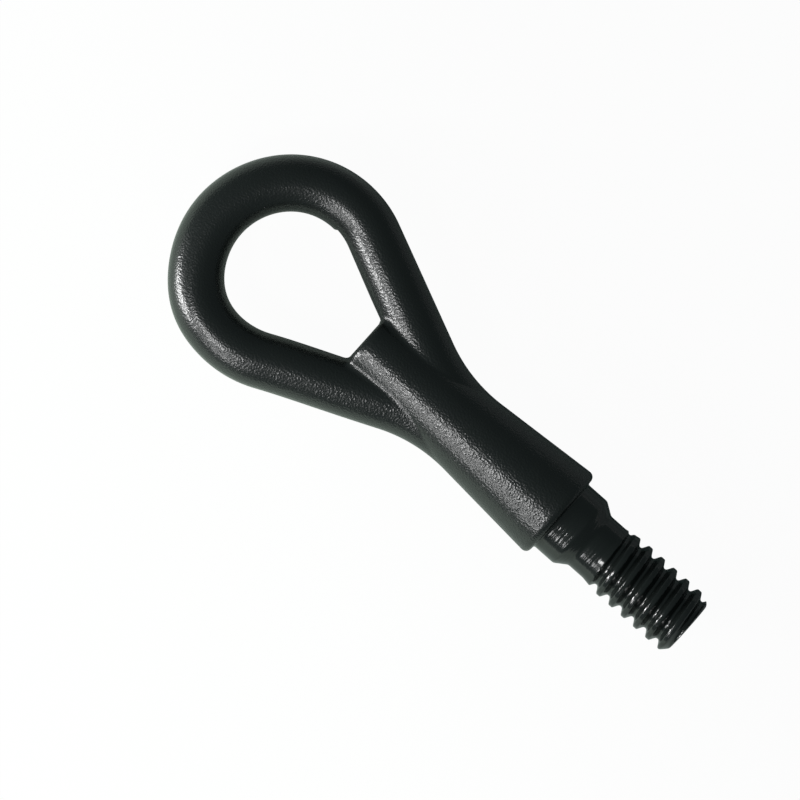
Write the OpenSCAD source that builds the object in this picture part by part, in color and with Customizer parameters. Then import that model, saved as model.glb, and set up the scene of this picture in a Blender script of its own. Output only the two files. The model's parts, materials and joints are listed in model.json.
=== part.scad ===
// Screw-in tow eye: a bar bent to an eye, forged in one piece with a tapered shank,
// and turned at its other end to a pilot and a coarse thread.
// The axis of the screw is X, with the seat at X = 0 and the tip of the thread at +X.
// The eye lies in the XY plane.

/* [Eye] */
// Diameter of the round bar
bar_d = 14.3; // [8:0.1:18]
// Radius of the eye, to the middle of the bar
eye_r = 23; // [18:0.1:34]
// Distance from the centre of the eye to the seat
eye_to_seat = 90.7; // [85:0.1:110]
// Angle between each leg and the axis
leg_angle = 24; // [20:0.5:28]
// Radius of the hollow curve between leg and shank
leg_blend_r = 40; // [25:1:60]

/* [Shank] */
// Length of the shank, from its face in the eye to the seat
shank_len = 65.7; // [60:0.1:70]
// Diameter of the shank at its face in the eye
shank_eye_d = 16.4; // [15:0.1:20]
// Diameter of the shank at the seat, before its edge is rounded
collar_d = 26.1; // [24.5:0.1:32]
// Radius of the rounded edge at the face in the eye
eye_edge_r = 2; // [0.5:0.1:3]
// Radius of the hollow in the crease between each leg and the shank
crease_r = 1.6; // [1:0.1:2.2]
// Radius of the rounded edge round the seat
collar_edge_r = 1.8; // [0.5:0.1:2.5]

/* [Pilot] */
// Diameter of the turned pilot
pilot_d = 20.5; // [19:0.1:20.9]
// Length of the pilot
pilot_len = 6.4; // [4:0.1:10]
// Radius in the corner between seat and pilot
seat_corner_r = 0.5; // [0.2:0.1:1]
// Diameter of the neck behind the thread
neck_d = 16.2; // [15:0.1:17]
// Length of the cone from the pilot to the neck
neck_cone_len = 3.2; // [2:0.1:5]

/* [Thread] */
// Outer diameter of the thread
thread_d = 17.8; // [17.4:0.1:18.8]
// Pitch of the thread, which is right-handed
thread_pitch = 4.08; // [3.8:0.01:5]
// Depth of the thread
thread_depth = 1.75; // [1:0.05:2]
// Width of the groove at its floor, before its corners are softened
groove_floor = 0.9; // [0.7:0.05:1.2]
// Slope of each flank of the thread
flank_angle = 30; // [25:1:32]
// Softening of the groove's corners, at its floor and at the crests
thread_softening = 0.25; // [0.1:0.05:0.3]
// Distance from the seat to the start of the thread
thread_start = 14.4; // [13.5:0.1:18]
// Length over which the crests rise from the neck to their full height
crest_rise_len = 5; // [1:0.5:8]
// Distance from the seat to the tip
tip_x = 42.4; // [36:0.1:55]
// Length of the chamfer at the tip
tip_chamfer = 1.8; // [0.5:0.1:2.5]
// Radius between that chamfer and the face of the tip
tip_edge_r = 1.6; // [0.4:0.1:1.8]

/* [Hidden] */
$fn = 96;
SLOT_COLOR = [0.13, 0.15, 0.14];

bar_r = bar_d / 2;
thread_r = thread_d / 2;
neck_r = neck_d / 2;
pilot_r = pilot_d / 2;
collar_r = collar_d / 2;
shank_eye_r = shank_eye_d / 2;

// The least width of the flat ring at the seat
least_ring = 0.1;

// The taper of the shank, as an angle to the axis
taper = atan((collar_r - shank_eye_r) / shank_len);
// Where the outer side of a leg, drawn straight on, meets the axis
leg_outer_x = -eye_to_seat + (eye_r + bar_r) / sin(leg_angle);
// The curve ends this far under the side of the shank, so that it runs out cleanly
blend_sink = 0.03;
sunk_collar_r = collar_r - blend_sink;
// Where the outer side of a leg, drawn straight on, meets the side of the shank
corner_x = (leg_outer_x * tan(leg_angle) - sunk_collar_r) / (tan(leg_angle) + tan(taper));
corner_y = sunk_collar_r + corner_x * tan(taper);
// The hollow curve touches both lines this far from their corner
blend_turn = leg_angle + taper;
blend_reach = leg_blend_r * tan(blend_turn / 2);
blend_start = [corner_x - blend_reach * cos(leg_angle), corner_y + blend_reach * sin(leg_angle)];
blend_centre = blend_start + leg_blend_r * [sin(leg_angle), cos(leg_angle)];
// The straight part of a leg, from the eye to the hollow curve
leg_start = [-eye_to_seat + eye_r * sin(leg_angle), eye_r * cos(leg_angle)];
leg_end = blend_start - bar_r * [sin(leg_angle), cos(leg_angle)];
leg_len = norm(leg_end - leg_start);
// Each straight leg is thicker than the bends by this much and covers their ends, so that they join well
leg_swell = 0.02;
leg_lap = 0.05;

// The hollow in the crease is that of a ball rolled along it, which touches shank and leg.
// It sinks this far under their skins, so that it meets them at a clear angle.
crease_sink = 0.03;
crease_reach = crease_r - crease_sink;
// The crease is filled to this depth behind the ball
crease_fill = 0.5;
crease_side_steps = 12;
crease_end_steps = 14;
crease_arc_steps = 4;
// Middle of the rounding at the shank's face in the eye: distance along the axis, and away from it
edge_x = -shank_len + eye_edge_r;
edge_centre = [edge_x, collar_r + edge_x * tan(taper) - eye_edge_r / cos(taper)];
// Along the shank the ball goes from the middle of the hollow curve to the rounding
crease_fade_x = corner_x;
crease_side_x = edge_x - (eye_edge_r + crease_reach) * sin(taper);

// Half of the groove's section, from its floor outwards: distance from its middle, and height above its floor
// The slope at the crest runs on past it by groove_pass, so that it cuts the crest cleanly
flank_slope = tan(flank_angle);
groove_pass = 0.08;
groove_lip = 0.4;
groove_half_floor = groove_floor / 2;
groove_half_top = groove_half_floor + thread_depth * flank_slope;
groove_half_mouth = groove_half_top + thread_softening + groove_pass * (1 + flank_slope);
groove_half = [
    [groove_half_floor - thread_softening, 0],
    [groove_half_floor + thread_softening * flank_slope, thread_softening],
    [groove_half_top - thread_softening * flank_slope, thread_depth - thread_softening],
    [groove_half_mouth, thread_depth + groove_pass],
    [groove_half_mouth, thread_depth + groove_lip],
];
// The groove comes in just before the thread's start, deepens along the run-in and leaves through the tip
groove_steps = 32;
groove_root_r = thread_r - thread_depth;
groove_first_x = thread_start - thread_pitch / 12;
groove_first_angle = 180;
run_in_turns = 0.75;
groove_turns = (tip_x - groove_first_x) / thread_pitch + 0.6;

// The bar of the eye and its two legs, bent from one round bar
module eye_bar() {
    translate([-eye_to_seat, 0, 0])
        rotate([0, 0, 90 - leg_angle])
            rotate_extrude(angle = 180 + 2 * leg_angle)
                translate([eye_r, 0])
                    circle(r = bar_r);
    for (side = [0, 1])
        mirror([0, side, 0])
            leg();
}

// One straight leg and the hollow curve that brings it alongside the shank
module leg() {
    translate([leg_start[0], leg_start[1], 0])
        rotate([0, 0, -leg_angle])
            translate([-leg_lap, 0, 0])
                rotate([0, 90, 0])
                    cylinder(r = bar_r + leg_swell, h = leg_len + 2 * leg_lap);
    translate([blend_centre[0], blend_centre[1], 0])
        rotate([0, 0, -90 - leg_angle])
            rotate_extrude(angle = blend_turn)
                translate([leg_blend_r + bar_r, 0])
                    circle(r = bar_r);
}

// Direction from one point to another
function towards(a, b) = (b - a) / norm(b - a);

// The point nearest to p on the middle line of a leg and its hollow curve
function leg_middle(p) =
    let (
        flat = [p[0], p[1]],
        outward = [sin(leg_angle), cos(leg_angle)],
        past_leg = (flat - leg_end) * [cos(leg_angle), -sin(leg_angle)],
        on_leg = flat - ((flat - leg_start) * outward) * outward,
        on_curve = blend_centre + (leg_blend_r + bar_r) * towards(blend_centre, flat),
        at = past_leg > 0 ? on_curve : on_leg
    )
        [at[0], at[1], 0];

// Outward direction of the shank's skin nearest to q, which is a distance along the axis and one from it
function shank_outward(q) =
    let (from_edge = q - edge_centre)
        from_edge * [cos(taper), sin(taper)] >= 0 ? [-sin(taper), cos(taper)] :
        from_edge[1] <= 0 ? [-1, 0] :
        from_edge / norm(from_edge);

// Distance from the ball's middle to the shank's skin
function shank_gap(p) =
    let (q = [p[0], norm([p[1], p[2]])])
        (q - edge_centre) * shank_outward(q) - eye_edge_r;

// The ball's middle at x along the shank, found by halving the turn between low and high
function ball_beside(x, low = 0, high = 90, halvings = 24) =
    let (
        out = edge_centre[1] + (eye_edge_r + crease_reach + (x - edge_x) * sin(taper)) / cos(taper),
        turn = (low + high) / 2,
        p = [x, out * cos(turn), out * sin(turn)],
        off_leg = norm(p - leg_middle(p)) - bar_r
    )
        halvings == 0 ? p :
        off_leg > crease_reach ? ball_beside(x, low, turn, halvings - 1) :
        ball_beside(x, turn, high, halvings - 1);

// The ball's middle as it goes round the shank's end, from above at turn 0 to below at turn 180
function ball_round_end(turn, low = 0, high = bar_r + crease_reach - crease_sink, halvings = 24) =
    let (
        out = (low + high) / 2,
        x = crease_side_x - out * sin(turn),
        z = out * cos(turn),
        off_leg = sqrt(pow(bar_r + crease_reach, 2) - z * z),
        y = leg_start[1] - (off_leg + (x - leg_start[0]) * sin(leg_angle)) / cos(leg_angle)
    )
        halvings == 0 ? [x, y, z] :
        shank_gap([x, y, z]) > crease_reach ? ball_round_end(turn, low, out, halvings - 1) :
        ball_round_end(turn, out, high, halvings - 1);

// Section of the crease's filling where the ball's middle is p: the ball's arc, and a point behind it
function crease_section(p) =
    let (
        out = norm([p[1], p[2]]),
        skin = shank_outward([p[0], out]),
        to_shank = -[skin[0], skin[1] * p[1] / out, skin[1] * p[2] / out],
        to_leg = towards(p, leg_middle(p)),
        arc = acos(to_shank * to_leg),
        across = (to_shank - cos(arc) * to_leg) / sin(arc)
    )
        [
            for (i = [0:crease_arc_steps])
                let (a = arc * i / crease_arc_steps)
                    p + crease_r * (cos(a) * to_leg + sin(a) * across),
            p + (crease_r / cos(arc / 2) + crease_fill) * (cos(arc / 2) * to_leg + sin(arc / 2) * across),
        ];

// What a rounding of radius r takes off the corner at p, between the edges to a and to b
module corner_waste(p, a, b, r) {
    to_a = towards(p, a);
    to_b = towards(p, b);
    inward = (to_a + to_b) / norm(to_a + to_b);
    half_angle = acos(inward * to_a);
    reach = r / tan(half_angle);
    centre = p + inward * r / sin(half_angle);
    difference() {
        polygon([p + reach * to_a, centre, p + reach * to_b, p - inward * r]);
        translate(centre)
            circle(r = r);
    }
}

// Half of the section of shank, pilot, neck and threaded end, with the axis as Y and the tip upwards
module turned_section() {
    shank_top = [0, -shank_len];
    shank_edge = [shank_eye_r, -shank_len];
    collar_edge = [collar_r, 0];
    pilot_foot = [pilot_r + seat_corner_r, 0];
    tip_crest = [thread_r, tip_x - tip_chamfer];
    tip_edge = [thread_r - tip_chamfer, tip_x];
    tip_middle = [0, tip_x];
    // The rounding round the seat leaves a flat ring to rest on
    seat_width = collar_r - pilot_r - seat_corner_r;
    seat_edge_r = min(collar_edge_r, (seat_width - least_ring) * tan(45 - taper / 2));
    difference() {
        polygon([
            shank_top,
            shank_edge,
            collar_edge,
            pilot_foot,
            [pilot_foot[0], seat_corner_r],
            [pilot_r, seat_corner_r],
            [pilot_r, pilot_len],
            [neck_r, pilot_len + neck_cone_len],
            [neck_r, thread_start],
            [thread_r, thread_start + crest_rise_len],
            tip_crest,
            tip_edge,
            tip_middle,
        ]);
        corner_waste(shank_edge, shank_top, collar_edge, eye_edge_r);
        corner_waste(collar_edge, shank_edge, pilot_foot, seat_edge_r);
        corner_waste(tip_edge, tip_crest, tip_middle, tip_edge_r);
        translate([pilot_foot[0], seat_corner_r])
            circle(r = seat_corner_r);
    }
}

// What fills the crease at one leg, from above the shank round its end to below it
module crease() {
    beside = [
        for (i = [0:crease_side_steps - 1])
            ball_beside(crease_fade_x + (crease_side_x - crease_fade_x) * i / crease_side_steps)
    ];
    balls = [
        each beside,
        for (i = [0:crease_end_steps]) ball_round_end(180 * i / crease_end_steps),
        for (i = [crease_side_steps - 1:-1:0]) [beside[i][0], beside[i][1], -beside[i][2]],
    ];
    tube([for (p = balls) crease_section(p)]);
}

// A solid through rings of points, each with the same number of them
module tube(rings) {
    corners = len(rings[0]);
    last_ring = len(rings) - 1;
    sides = [
        for (i = [0:last_ring - 1], j = [0:corners - 1])
            let (a = i * corners + j, b = i * corners + (j + 1) % corners)
                each [[a, b, a + corners], [b, b + corners, a + corners]],
    ];
    first = [for (j = [corners - 1:-1:0]) j];
    last = [for (j = [0:corners - 1]) last_ring * corners + j];
    polyhedron([for (ring = rings) each ring], concat([first, last], sides));
}

// The helical groove that cuts the thread
module thread_groove() {
    halves = len(groove_half);
    section = [
        each [for (p = groove_half) [-p[0], p[1]]],
        each [for (i = [halves - 1:-1:0]) groove_half[i]],
    ];
    tube([
        for (i = [0:ceil(groove_turns * groove_steps)])
            let (
                turn = i / groove_steps,
                angle = groove_first_angle + 360 * turn,
                lift = max(0, 1 - turn / run_in_turns) * thread_depth
            )
                [
                    for (p = section)
                        let (r = groove_root_r + p[1] + lift)
                            [groove_first_x + turn * thread_pitch + p[0], r * cos(angle), r * sin(angle)],
                ],
    ]);
}

module tow_eye() {
    color(SLOT_COLOR)
        difference() {
            union() {
                eye_bar();
                rotate([0, 90, 0])
                    rotate_extrude()
                        turned_section();
                for (side = [0, 1])
                    mirror([0, side, 0])
                        crease();
            }
            thread_groove();
        }
}

tow_eye();
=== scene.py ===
"""Looks of a forged tow eye: a finer body of the same form, its coat, the light and the camera."""
import json
import math

import bpy
import numpy as np
from mathutils import Matrix, Vector


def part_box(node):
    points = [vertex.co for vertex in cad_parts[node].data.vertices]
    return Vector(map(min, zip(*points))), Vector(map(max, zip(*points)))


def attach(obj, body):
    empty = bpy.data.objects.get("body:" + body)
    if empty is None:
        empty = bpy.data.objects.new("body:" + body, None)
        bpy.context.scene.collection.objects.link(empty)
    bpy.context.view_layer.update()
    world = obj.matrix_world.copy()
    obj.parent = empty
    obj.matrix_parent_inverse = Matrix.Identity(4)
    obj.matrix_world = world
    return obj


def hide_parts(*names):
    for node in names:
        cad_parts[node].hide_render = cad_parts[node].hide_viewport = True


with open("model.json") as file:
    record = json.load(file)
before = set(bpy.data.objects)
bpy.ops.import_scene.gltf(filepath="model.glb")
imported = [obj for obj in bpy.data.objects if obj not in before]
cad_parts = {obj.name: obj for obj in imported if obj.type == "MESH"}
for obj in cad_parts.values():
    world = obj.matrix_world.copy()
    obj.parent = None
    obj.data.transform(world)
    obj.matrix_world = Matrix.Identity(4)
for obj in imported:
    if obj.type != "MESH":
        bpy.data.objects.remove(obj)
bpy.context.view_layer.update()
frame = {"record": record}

# The part's sizes are in millimetres here, and its meshes are made in metres
MM = 0.001
mounts = {m["name"]: m for m in frame["record"]["mounts"]}
box_low, box_high = (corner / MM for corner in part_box("tow_eye"))

# Eye and legs
BAR_R = 7.15
EYE_TO_SEAT = -mounts["eye"]["pos_m"][0] / MM
EYE_R = -box_low.x - EYE_TO_SEAT - BAR_R
LEG_ANGLE = math.radians(24)
LEG_BLEND_R = 40
BAR_END_X = -10

# Shank
SHANK_LEN = 65.7
SHANK_EYE_R = 8.2
COLLAR_R = 13.05
EYE_EDGE_R = 2
SEAT_EDGE_R = 1.8
CREASE_R = 1.6

# Flat that was left inside the eye where the flash was trimmed. Its depth changes between these two places
# along the leg. It stops short of the shank's end, and keeps off the axis.
FLAT_FROM, FLAT_TO = -5.3, 14
FLAT_DEPTH_FROM, FLAT_DEPTH_TO = 0.5, 0.15
FLAT_OFF_SHANK = 0.3
FLAT_OFF_AXIS = 2

# The forging isn't quite even. Each bulge has its middle, its reach and its shift there.
BULGES = (
    ((-102.2, -19.9), 7.5, (-0.52, -0.9)),
    ((-111.5, 9.7), 10, (0.3, -0.14)),
    ((-79.2, -19.9), 8, (-0.18, 0.41)),
    ((-68.6, -15.3), 8, (-0.08, 0.18)),
)

# Turned end and thread
PILOT_R = mounts["pilot"]["dims"]["r_mm"]
PILOT_LEN = 6.4
SEAT_CORNER_R = 0.5
NECK_R = 8.1
NECK_CONE_LEN = 3.2
THREAD_R = 8.9
THREAD_START = 14.4
THREAD_PITCH = 4.08
THREAD_DEPTH = 1.75
GROOVE_FLOOR = 0.9
FLANK_SLOPE = math.tan(math.radians(30))
CREST_RISE_LEN = 5
GROOVE_FIRST_X = 14.06
GROOVE_FIRST_TURN = 0.5
RUN_IN_TURNS = 0.75
TIP_X = box_high.x
TIP_CHAMFER = 1.8
TIP_EDGE_R = 1.6
TIP_EDGE_LEN = TIP_EDGE_R * (1 - math.cos(math.pi / 4))

# How softly these corners turn
CONE_SOFTENING = 0.3
GROOVE_SOFTENING = 0.6
CREST_SOFTENING = 0.25
CHAMFER_SOFTENING = 0.2

# Picture: how the camera is turned, what it looks at, its ways right and up, and the side of the floor with
# painted shade
PHOTO_TURN = math.radians(41.57)
PHOTO_WIDTH = 200 * MM
VIEW_CENTRE = Vector((-49.2 * MM, -5.2 * MM, 0))
CAMERA_HEIGHT = 3
image_right = Vector((math.cos(PHOTO_TURN), math.sin(PHOTO_TURN), 0))
image_up = Vector((-math.sin(PHOTO_TURN), math.cos(PHOTO_TURN), 0))
PAINTED_SHADE_SIDE = (image_right * 0.9 + image_up * 0.44).normalized()

# Floor: reflections show it as it is lit up to the first distance, and white from the second on, in metres.
# The camera sees this share of its shade. Its colour darkens between these two places towards one side, as
# painted shade.
NEAR_FLOOR, FAR_FLOOR = 0.2, 1.5
FLOOR_SHADE = 0.035
SHADE_PAINT_FROM, SHADE_PAINT_TO = -0.06, 0.04
# Floor colours: the pale one, and the darker one of the painted shade
PAINTED_LIT_FLOOR, PAINTED_SHADED_FLOOR = (0.7, 0.8, 0.7, 1), (0.3, 0.33, 0.33, 1)

# Coat: its grain is deepest on the shank. The eye and the turned end have these shares of that depth, and
# it changes from the eye's to the shank's between these two places.
GRAIN_SCALE, GRAIN_DEPTH = 2000, 0.09 * MM
EYE_GRAIN, TURNED_GRAIN = 0.75, 0.12
EYE_GRAIN_X, SHANK_GRAIN_X = -72 * MM, -60 * MM
MARK_SCALE, MARK_DEPTH = 1400, 0.1 * MM
HOLLOW_ROUGHNESS, TOP_ROUGHNESS, TURNED_ROUGHNESS = 0.3, 0.26, 0.17
DARK_COAT, PALE_COAT = (0.005, 0.0065, 0.006, 1), (0.008, 0.01, 0.0095, 1)

# How fine the meshes are
BODY_STEP = 0.52
BODY_MARGIN = 2
TURNED_STEP = 0.2
TURNED_SIDES = 128
TIP_ROWS = 8
FOOT_X = -3
# The first row of points stands this far off the seat: in the seat's plane it would leave the join open
SEAT_STAND_OFF = 0.02


# Distances, where p is an array of points with x, y, z last
def unit(angle):
    return np.array([math.cos(angle), math.sin(angle)])


def length_and_way(v):
    """How long each vector is, and where it points."""
    length = np.linalg.norm(v, axis=-1)
    return length, v / np.maximum(length, 1e-6)[..., None]


def line_facts():
    """Where each leg ends and its hollow curve begins, as the part's source works it out."""
    taper = math.atan((COLLAR_R - SHANK_EYE_R) / SHANK_LEN)
    outer_x = -EYE_TO_SEAT + (EYE_R + BAR_R) / math.sin(LEG_ANGLE)
    slope, lean = math.tan(LEG_ANGLE), math.tan(taper)
    corner_x = (outer_x * slope - COLLAR_R) / (slope + lean)
    corner = np.array([corner_x, COLLAR_R + corner_x * lean])
    reach = LEG_BLEND_R * math.tan((LEG_ANGLE + taper) / 2)
    outward = np.array([math.sin(LEG_ANGLE), math.cos(LEG_ANGLE)])
    along = np.array([math.cos(LEG_ANGLE), -math.sin(LEG_ANGLE)])
    start = corner - reach * along
    return {
        "taper": taper,
        "along": along,
        "outward": outward,
        "leg_end": start - BAR_R * outward,
        "blend_centre": start + LEG_BLEND_R * outward,
        "blend_end": corner + reach * unit(taper),
    }


LINE = line_facts()


def bar_skin(p):
    """Distance to the bent bar, which is the eye, its legs and hollow curves, and the way out of it."""
    side = unit(LINE["taper"])
    across = np.array([-side[1], side[0]])
    flat = np.stack([p[..., 0], np.abs(p[..., 1])], -1)
    from_eye = flat - np.array([-EYE_TO_SEAT, 0])
    from_side = flat - LINE["blend_end"]
    to_eye, way_eye = length_and_way(from_eye)
    to_blend, way_blend = length_and_way(flat - LINE["blend_centre"])
    # How far off the bar's middle line, and which way, for each stretch of it from the shank to the eye
    off, way = from_side @ across + BAR_R, across
    for here, stretch_off, stretch_way in (
        (from_side @ side < 0, LEG_BLEND_R + BAR_R - to_blend, -way_blend),
        ((flat - LINE["leg_end"]) @ LINE["along"] < 0, from_eye @ LINE["outward"] - EYE_R, LINE["outward"]),
        (from_eye @ LINE["along"] < 0, to_eye - EYE_R, way_eye),
    ):
        off = np.where(here, stretch_off, off)
        way = np.where(here[..., None], stretch_way, way)
    gap = np.hypot(off, p[..., 2])
    out = np.concatenate([way * off[..., None], p[..., 2:]], -1) / np.maximum(gap, 1e-6)[..., None]
    out[..., 1] *= np.where(p[..., 1] < 0, -1.0, 1.0)
    return gap - BAR_R, out


def round_intersection(a, b, r):
    """Distance to what two shapes share, with its edge rounded."""
    return np.minimum(-r, np.maximum(a, b)) + np.hypot(np.maximum(r + a, 0), np.maximum(r + b, 0))


def shank_skin(p):
    """Distance to the tapered shank, with its rounded edges, and the way out of it."""
    around = np.hypot(p[..., 1], p[..., 2])
    lean = unit(LINE["taper"])
    eye_x = EYE_EDGE_R - SHANK_LEN
    eye_out = COLLAR_R + eye_x * math.tan(LINE["taper"]) - EYE_EDGE_R / lean[0]
    from_edge = np.stack([p[..., 0] - eye_x, around - eye_out], -1)
    edge_way = length_and_way(from_edge)[1]
    end_way = np.where((from_edge[..., 1] <= 0)[..., None], [-1.0, 0.0], edge_way)
    way = np.where((from_edge @ lean >= 0)[..., None], [-lean[1], lean[0]], end_way)
    gap = (from_edge * way).sum(-1) - EYE_EDGE_R
    gap = round_intersection(gap, p[..., 0], SEAT_EDGE_R)
    spread = p[..., 1:] / np.maximum(around, 1e-6)[..., None] * way[..., 1:]
    return gap, np.concatenate([way[..., :1], spread], -1)


def forging_distance(p):
    """Bar and shank in one, with the hollow of a rolled ball in the crease where they meet."""
    bar, bar_out = bar_skin(p)
    shank, shank_out = shank_skin(p)
    bar = np.maximum(bar, p[..., 0] - BAR_END_X)
    meet = np.clip((bar_out * shank_out).sum(-1), -0.999, 0.999)
    off_bar, off_shank = CREASE_R - bar, CREASE_R - shank
    between = (off_bar > meet * off_shank) & (off_shank > meet * off_bar)
    across = off_bar**2 + off_shank**2 - 2 * meet * off_bar * off_shank
    off_ball = np.sqrt(np.maximum(across, 0) / (1 - meet**2))
    plain = np.minimum(bar, shank)
    return np.where(between, np.minimum(CREASE_R - off_ball, plain), plain)


def trimmed_distance(p):
    """The forging with the trimmed flat inside the eye."""
    from_eye = p[..., :2] - np.array([-EYE_TO_SEAT, 0])
    along = from_eye @ LINE["along"]
    inward = np.where(along < 0, np.linalg.norm(from_eye, axis=-1), from_eye @ LINE["outward"])
    share = np.clip((along - FLAT_FROM) / (FLAT_TO - FLAT_FROM), 0, 1)
    depth = FLAT_DEPTH_FROM + (FLAT_DEPTH_TO - FLAT_DEPTH_FROM) * share
    within = np.maximum(inward - (EYE_R - BAR_R) - depth, FLAT_FROM - along)
    beyond = np.maximum(p[..., 0] + SHANK_LEN + FLAT_OFF_SHANK, FLAT_OFF_AXIS - p[..., 1])
    within = np.maximum(within, beyond)
    return np.maximum(forging_distance(p), -within)


def uneven(points):
    """The points moved by the bulges, which lie in the plane of the eye."""
    moved = points.copy()
    for centre, reach, shift in BULGES:
        gap = ((points[:, :2] - centre) ** 2).sum(-1)
        moved[:, :2] += np.exp(-gap / (2 * reach**2))[:, None] * shift
    return moved


# Meshes
def slope_of(distance, points, reach=0.01):
    """The direction in which the distance grows, at each point."""
    steps = np.eye(3) * reach
    slope = np.stack([distance(points + s) - distance(points - s) for s in steps], -1)
    return slope / np.maximum(np.linalg.norm(slope, axis=-1, keepdims=True), 1e-9)


def onto_surface(distance, points, rounds=3):
    """The points, moved to where the distance is zero."""
    for _ in range(rounds):
        points = points - distance(points)[:, None] * slope_of(distance, points)
    return points


def cell_corners(values):
    """The eight corner values of each grid cell, keyed by corner."""
    cut = {0: slice(None, -1), 1: slice(1, None)}
    return {
        (i, j, k): values[cut[i], cut[j], cut[k]]
        for i in (0, 1)
        for j in (0, 1)
        for k in (0, 1)
    }


def net_points(values, low, step):
    """One point in each cell that the surface crosses: the mean of where it crosses the cell's edges."""
    corners = cell_corners(values)
    total = np.zeros(corners[0, 0, 0].shape + (3,))
    count = np.zeros(corners[0, 0, 0].shape)
    for a, first in corners.items():
        for axis in range(3):
            if a[axis]:
                continue
            b = tuple(1 if n == axis else a[n] for n in range(3))
            second = corners[b]
            crossed = (first < 0) != (second < 0)
            share = np.where(crossed, first / np.where(crossed, first - second, 1), 0)
            place = np.array(a, float) + share[..., None] * np.eye(3)[axis]
            total += place * crossed[..., None]
            count += crossed
    cells = np.argwhere(count > 0)
    number = np.full(count.shape, -1)
    number[count > 0] = np.arange(len(cells))
    inner = total[count > 0] / count[count > 0][:, None]
    return (cells + inner) * step + low, number


def net_faces(values, number):
    """A quad for each grid edge that the surface crosses, through the four cells round it."""
    faces = []
    for axis in range(3):
        u, v = (axis + 1) % 3, (axis + 2) % 3
        near = [slice(None)] * 3
        near[axis] = slice(None, -1)
        far = [slice(None)] * 3
        far[axis] = slice(1, None)
        first, second = values[tuple(near)] < 0, values[tuple(far)] < 0
        edges = np.argwhere(first != second)
        edges = edges[(edges[:, u] > 0) & (edges[:, v] > 0)]
        leaving = first[tuple(edges.T)]
        ring = []
        for du, dv in ((-1, -1), (0, -1), (0, 0), (-1, 0)):
            cell = edges.copy()
            cell[:, u] += du
            cell[:, v] += dv
            ring.append(number[tuple(cell.T)])
        ring = np.stack(ring, -1)
        faces.append(np.where(leaving[:, None], ring, ring[:, ::-1]))
    return np.concatenate(faces)


def relaxed(distance, points, faces, rounds=4):
    """Evens out the points along the surface."""
    for _ in range(rounds):
        total = np.zeros_like(points)
        count = np.zeros(len(points))
        for n in range(4):
            a, b = faces[:, n], faces[:, (n + 1) % 4]
            np.add.at(total, a, points[b])
            np.add.at(total, b, points[a])
            np.add.at(count, a, 1)
            np.add.at(count, b, 1)
        points = onto_surface(distance, (points + total / count[:, None]) / 2, 1)
    return onto_surface(distance, points, 2)


def net_mesh(distance, low, high, step):
    """A closed mesh of the surface where the distance is zero."""
    axes = [np.arange(a, b + step, step) for a, b in zip(low, high)]
    grid = np.stack(np.meshgrid(*axes, indexing="ij"), -1)
    values = distance(grid)
    points, number = net_points(values, np.array(low), step)
    faces = net_faces(values, number)
    return relaxed(distance, onto_surface(distance, points), faces), faces.tolist()


def smooth_max(a, b, k):
    """The larger of the two, rounded where they are within k of each other."""
    h = np.clip(0.5 + 0.5 * (a - b) / k, 0, 1)
    return b + (a - b) * h + k * h * (1 - h)


def smooth_min(a, b, k):
    return -smooth_max(-a, -b, k)


def plain_radius(x):
    """Radius of the pilot, the cone and the neck at each place along them."""
    rise = np.clip(SEAT_CORNER_R - x, 0, SEAT_CORNER_R)
    corner = PILOT_R + SEAT_CORNER_R - np.sqrt(np.maximum(SEAT_CORNER_R**2 - rise**2, 0))
    corner = np.where(x < 0, PILOT_R + SEAT_CORNER_R, corner)
    pilot = np.where(x < SEAT_CORNER_R, corner, PILOT_R)
    cone = PILOT_R - (x - PILOT_LEN) * (PILOT_R - NECK_R) / NECK_CONE_LEN
    rest = smooth_max(smooth_min(pilot, cone, CONE_SOFTENING), NECK_R + 0 * x, CONE_SOFTENING)
    return np.where(x < PILOT_LEN - 1, pilot, rest)


def groove_radius(x, turn):
    """Radius down to the thread's groove, which is cut from its run-in on."""
    # The turn of the groove that is nearest to this place, and how deep it is there
    count = (x - GROOVE_FIRST_X) / THREAD_PITCH - (turn - GROOVE_FIRST_TURN)
    whole = np.maximum(np.round(count), np.where(turn < GROOVE_FIRST_TURN, 1, 0))
    along = whole + turn - GROOVE_FIRST_TURN
    off = np.abs(x - GROOVE_FIRST_X - along * THREAD_PITCH)
    lift = THREAD_DEPTH * np.maximum(0, 1 - along / RUN_IN_TURNS)
    floor = THREAD_R - THREAD_DEPTH + lift
    flank = floor + (off - GROOVE_FLOOR / 2) / FLANK_SLOPE
    return smooth_max(flank, floor, GROOVE_SOFTENING)


def turned_radius(x, turn):
    """Radius of the turned end at each place along it and each share of a turn round it."""
    plain = plain_radius(x)
    rise = NECK_R + (x - THREAD_START) * (THREAD_R - NECK_R) / CREST_RISE_LEN
    crest = np.where(x < THREAD_START, plain, np.minimum(rise, THREAD_R))
    shape = smooth_min(crest, groove_radius(x, turn), CREST_SOFTENING)
    shape = np.where(x < THREAD_START - 2, plain, shape)
    chamfer = THREAD_R - (x - TIP_X + TIP_CHAMFER)
    shape = smooth_min(shape, chamfer, CHAMFER_SOFTENING)
    # The tip's rounded edge, between the chamfer and the flat end
    edge_r = THREAD_R - TIP_CHAMFER - TIP_EDGE_R * math.tan(math.pi / 8)
    edge = edge_r + np.sqrt(np.maximum(TIP_EDGE_R**2 - np.maximum(x - TIP_X + TIP_EDGE_R, 0) ** 2, 0))
    return np.where(x > TIP_X - TIP_EDGE_LEN, np.minimum(shape, edge), shape)


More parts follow.
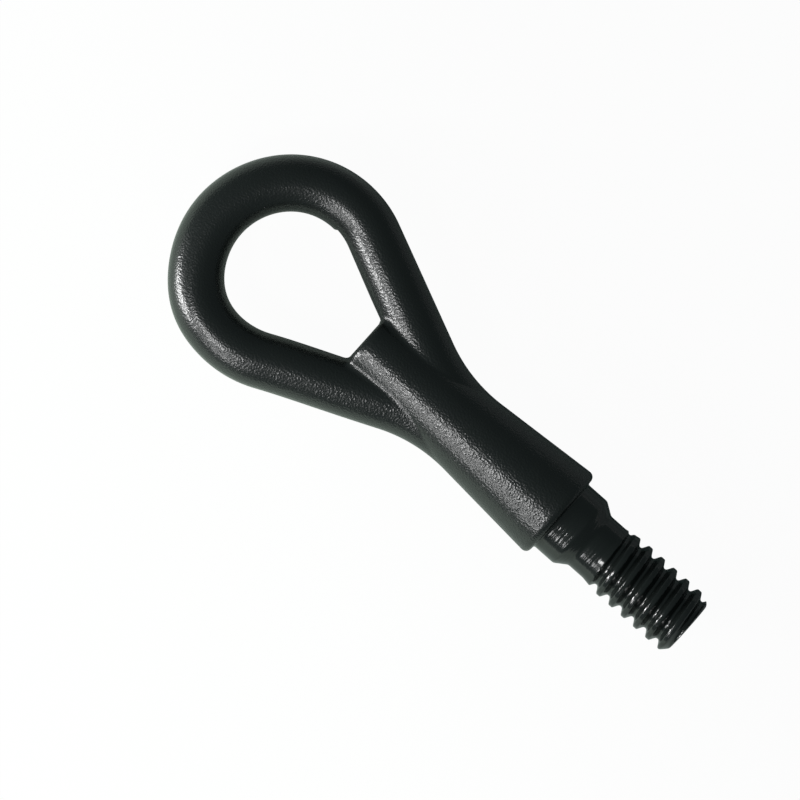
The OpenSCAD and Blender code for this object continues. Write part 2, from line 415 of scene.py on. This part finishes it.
def turned_mesh():
    """Pilot, neck and thread as one closed mesh, whose foot lies inside the shank."""
    n = TURNED_SIDES
    tip = TIP_X - TIP_EDGE_R * (1 - np.cos(np.linspace(math.pi / 4, 0, TIP_ROWS)))
    middle = np.arange(1, tip[0] - TURNED_STEP / 2, TURNED_STEP)
    x = np.concatenate([[FOOT_X], np.linspace(SEAT_STAND_OFF, SEAT_CORNER_R, 6), middle, tip])
    row_x, turn = np.meshgrid(x, np.arange(n) / n, indexing="ij")
    r = turned_radius(row_x, turn)
    angle = 2 * math.pi * turn
    points = np.stack([row_x, r * np.cos(angle), r * np.sin(angle)], -1).reshape(-1, 3)
    row, here = np.meshgrid(np.arange(len(x) - 1), np.arange(n), indexing="ij")
    beside = (here + 1) % n
    sides = [row * n + here, row * n + beside, (row + 1) * n + beside, (row + 1) * n + here]
    faces = np.stack(sides, -1).reshape(-1, 4).tolist()
    centre_foot, centre_tip = len(points), len(points) + 1
    points = np.concatenate([points, [[FOOT_X, 0, 0], [TIP_X, 0, 0]]])
    last = (len(x) - 1) * n
    for a in range(n):
        b = (a + 1) % n
        faces.append([centre_foot, b, a])
        faces.append([centre_tip, last + a, last + b])
    return points, faces


def blender_object(name, points, faces):
    mesh = bpy.data.meshes.new(name)
    mesh.from_pydata((points * MM).tolist(), [], faces)
    mesh.validate()
    obj = bpy.data.objects.new(name, mesh)
    bpy.context.scene.collection.objects.link(obj)
    return obj


def joined(body, addition):
    """One closed mesh of two, the second of which is then deleted."""
    step = body.modifiers.new("join", "BOOLEAN")
    step.operation = "UNION"
    step.solver = "EXACT"
    step.object = addition
    graph = bpy.context.evaluated_depsgraph_get()
    mesh = bpy.data.meshes.new_from_object(body.evaluated_get(graph))
    body.modifiers.clear()
    body.data = mesh
    bpy.data.objects.remove(addition)
    return body


# Materials
def node_of(tree, kind, values=None, **settings):
    """A new node with these settings and these values at its inputs."""
    node = tree.nodes.new(kind)
    for key, value in settings.items():
        setattr(node, key, value)
    for key, value in (values or {}).items():
        node.inputs[key].default_value = value
    return node


def two_colours(tree, share, first, second):
    """A colour between two, by how far the share is from 0 to 1."""
    ramp = node_of(tree, "ShaderNodeValToRGB")
    ramp.color_ramp.elements[0].color = first
    ramp.color_ramp.elements[1].color = second
    tree.links.new(share, ramp.inputs["Fac"])
    return ramp.outputs["Color"]


def coat_material():
    """A satin black coat: grained on the forged faces, smoother on the turned end."""
    material = bpy.data.materials.new("coated_forging")
    material.use_nodes = True
    tree = material.node_tree
    link = tree.links.new
    shader = tree.nodes["Principled BSDF"]
    place = node_of(tree, "ShaderNodeTexCoord").outputs["Object"]
    where = node_of(tree, "ShaderNodeSeparateXYZ")
    link(place, where.inputs[0])
    # This is 0 on the forging and 1 on the turned end
    turned = node_of(tree, "ShaderNodeMapRange", {"From Min": -0.5 * MM, "From Max": 0.5 * MM})
    link(where.outputs["X"], turned.inputs["Value"])

    grain = node_of(tree, "ShaderNodeTexNoise", {"Scale": GRAIN_SCALE, "Detail": 0})
    link(place, grain.inputs["Vector"])
    forged = node_of(tree, "ShaderNodeMapRange", {
        "From Min": EYE_GRAIN_X, "From Max": SHANK_GRAIN_X, "To Min": EYE_GRAIN, "To Max": 1})
    link(where.outputs["X"], forged.inputs["Value"])
    strength = node_of(tree, "ShaderNodeMapRange", {"To Max": TURNED_GRAIN})
    link(turned.outputs["Result"], strength.inputs["Value"])
    link(forged.outputs["Result"], strength.inputs["To Min"])
    bump = node_of(tree, "ShaderNodeBump", {"Distance": GRAIN_DEPTH})
    link(strength.outputs["Result"], bump.inputs["Strength"])
    link(grain.outputs["Fac"], bump.inputs["Height"])

    # Marks of the tool, which run round the turned end
    squeeze = node_of(tree, "ShaderNodeMapping", {"Scale": (1, 0.1, 0.1)})
    link(place, squeeze.inputs["Vector"])
    rings = node_of(tree, "ShaderNodeTexNoise", {"Scale": MARK_SCALE, "Detail": 2})
    link(squeeze.outputs["Vector"], rings.inputs["Vector"])
    marks = node_of(tree, "ShaderNodeBump", {"Distance": MARK_DEPTH})
    link(turned.outputs["Result"], marks.inputs["Strength"])
    link(rings.outputs["Fac"], marks.inputs["Height"])
    link(bump.outputs["Normal"], marks.inputs["Normal"])
    link(marks.outputs["Normal"], shader.inputs["Normal"])

    patches = node_of(tree, "ShaderNodeTexNoise", {"Scale": 90, "Detail": 4})
    link(place, patches.inputs["Vector"])
    link(two_colours(tree, patches.outputs["Fac"], DARK_COAT, PALE_COAT), shader.inputs["Base Color"])

    # The grain's hollows are duller than its tops
    gloss = node_of(tree, "ShaderNodeMapRange", {
        "From Min": 0.35, "From Max": 0.65, "To Min": HOLLOW_ROUGHNESS, "To Max": TOP_ROUGHNESS})
    link(grain.outputs["Fac"], gloss.inputs["Value"])
    smooth = node_of(tree, "ShaderNodeMix", {"B": TURNED_ROUGHNESS}, data_type="FLOAT")
    link(turned.outputs["Result"], smooth.inputs["Factor"])
    link(gloss.outputs["Result"], smooth.inputs["A"])
    link(smooth.outputs["Result"], shader.inputs["Roughness"])
    return material


def floor_material():
    """White to the camera and in distant reflections, with a faint shadow under the object and shade painted
    on one side.
    """
    material = bpy.data.materials.new("floor")
    material.use_nodes = True
    tree = material.node_tree
    tree.nodes.clear()
    link = tree.links.new

    def combined(operation, first, second):
        """What the operation makes of an output and a second output or a number."""
        node = node_of(tree, "ShaderNodeMath", operation=operation)
        link(first, node.inputs[0])
        if isinstance(second, float):
            node.inputs[1].default_value = second
        else:
            link(second, node.inputs[1])
        return node.outputs[0]

    ray = node_of(tree, "ShaderNodeLightPath").outputs
    # Close to the object a reflection shows the floor as it is lit, with the shadow on it
    distant = node_of(tree, "ShaderNodeMapRange", {"From Min": NEAR_FLOOR, "From Max": FAR_FLOOR})
    link(ray["Ray Length"], distant.inputs["Value"])
    mirrored = combined("MULTIPLY", ray["Is Glossy Ray"], distant.outputs["Result"])
    seen = combined("MAXIMUM", ray["Is Camera Ray"], mirrored)
    seen = combined("MAXIMUM", seen, ray["Is Transmission Ray"])

    # Painted shade: the lit floor's colour is paler on the side that the light comes from and darker on the
    # other
    place = node_of(tree, "ShaderNodeTexCoord")
    side = node_of(tree, "ShaderNodeVectorMath", {1: PAINTED_SHADE_SIDE}, operation="DOT_PRODUCT")
    link(place.outputs["Object"], side.inputs[0])
    painted_shade = node_of(tree, "ShaderNodeMapRange", {"From Min": SHADE_PAINT_FROM, "From Max": SHADE_PAINT_TO})
    link(side.outputs["Value"], painted_shade.inputs["Value"])
    lit = node_of(tree, "ShaderNodeBsdfDiffuse")
    link(two_colours(tree, painted_shade.outputs["Result"], PAINTED_LIT_FLOOR, PAINTED_SHADED_FLOOR), lit.inputs["Color"])

    white = node_of(tree, "ShaderNodeEmission", {"Color": (1, 1, 1, 1)})
    mix = node_of(tree, "ShaderNodeMixShader")
    link(combined("MULTIPLY", seen, 1 - FLOOR_SHADE), mix.inputs["Fac"])
    link(lit.outputs[0], mix.inputs[1])
    link(white.outputs[0], mix.inputs[2])
    out = node_of(tree, "ShaderNodeOutputMaterial")
    link(mix.outputs[0], out.inputs["Surface"])
    return material


def strip_light(name, first, last, distance, width, power):
    """A soft strip from one way to another, each given as right and up in the picture and to the camera."""
    ends = [(image_right * w[0] + image_up * w[1] + Vector((0, 0, w[2]))).normalized() for w in (first, last)]
    away = (ends[0] + ends[1]).normalized()
    along = (ends[1] - ends[0]).normalized()
    data = bpy.data.lights.new(name, "AREA")
    data.shape = "RECTANGLE"
    data.size = 2 * distance * math.tan(ends[0].angle(ends[1]) / 2)
    data.size_y = width
    data.energy = power
    light = bpy.data.objects.new(name, data)
    light.location = VIEW_CENTRE + away * distance
    light.rotation_euler = Matrix((along, away.cross(along), away)).transposed().to_euler()
    bpy.context.scene.collection.objects.link(light)


# The piece
forged_points, forged_faces = net_mesh(
    trimmed_distance,
    (box_low.x - BODY_MARGIN, box_low.y - BODY_MARGIN, -COLLAR_R - BODY_MARGIN),
    (BODY_MARGIN, box_high.y + BODY_MARGIN, COLLAR_R + BODY_MARGIN),
    BODY_STEP,
)
body = blender_object("tow_eye_forging", uneven(forged_points), forged_faces)
body = joined(body, blender_object("turned_end", *turned_mesh()))
body.data.shade_smooth()
body.data.set_sharp_from_angle(angle=math.radians(40))
body.data.materials.clear()
body.data.materials.append(coat_material())
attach(body, "root")
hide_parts("tow_eye")

# Stage, camera and light
scene = bpy.context.scene
scene.view_settings.view_transform = "Standard"

camera_data = bpy.data.cameras.new("camera")
camera_data.sensor_width = 36
camera_data.lens = camera_data.sensor_width * CAMERA_HEIGHT / PHOTO_WIDTH
camera_data.clip_start = 0.01
camera = bpy.data.objects.new("camera", camera_data)
camera.location = VIEW_CENTRE + Vector((0, 0, CAMERA_HEIGHT))
camera.rotation_euler = (0, 0, PHOTO_TURN)
scene.collection.objects.link(camera)
scene.camera = camera

# Name, first and last way, distance and width in metres, and power in watts
strip_light("low_window", (-1, 0.1, 0.1), (-0.78, -0.32, 0.54), 0.9, 0.085, 11.5)
strip_light("high_window", (-0.43, -0.25, 0.87), (-0.53, -0.35, 0.77), 0.5, 0.055, 0.85)
strip_light("side_window", (-0.51, -0.56, 0.65), (-0.62, -0.68, 0.4), 0.5, 0.055, 0.48)

world = bpy.data.worlds.new("studio")
world.use_nodes = True
world.node_tree.nodes["Background"].inputs["Color"].default_value = (0.125, 0.16, 0.16, 1)
scene.world = world

floor_z = box_low.z * MM
bpy.ops.mesh.primitive_plane_add(size=6, location=(0, 0, floor_z))
floor = bpy.context.object
floor.name = "floor"
floor.data.materials.append(floor_material())
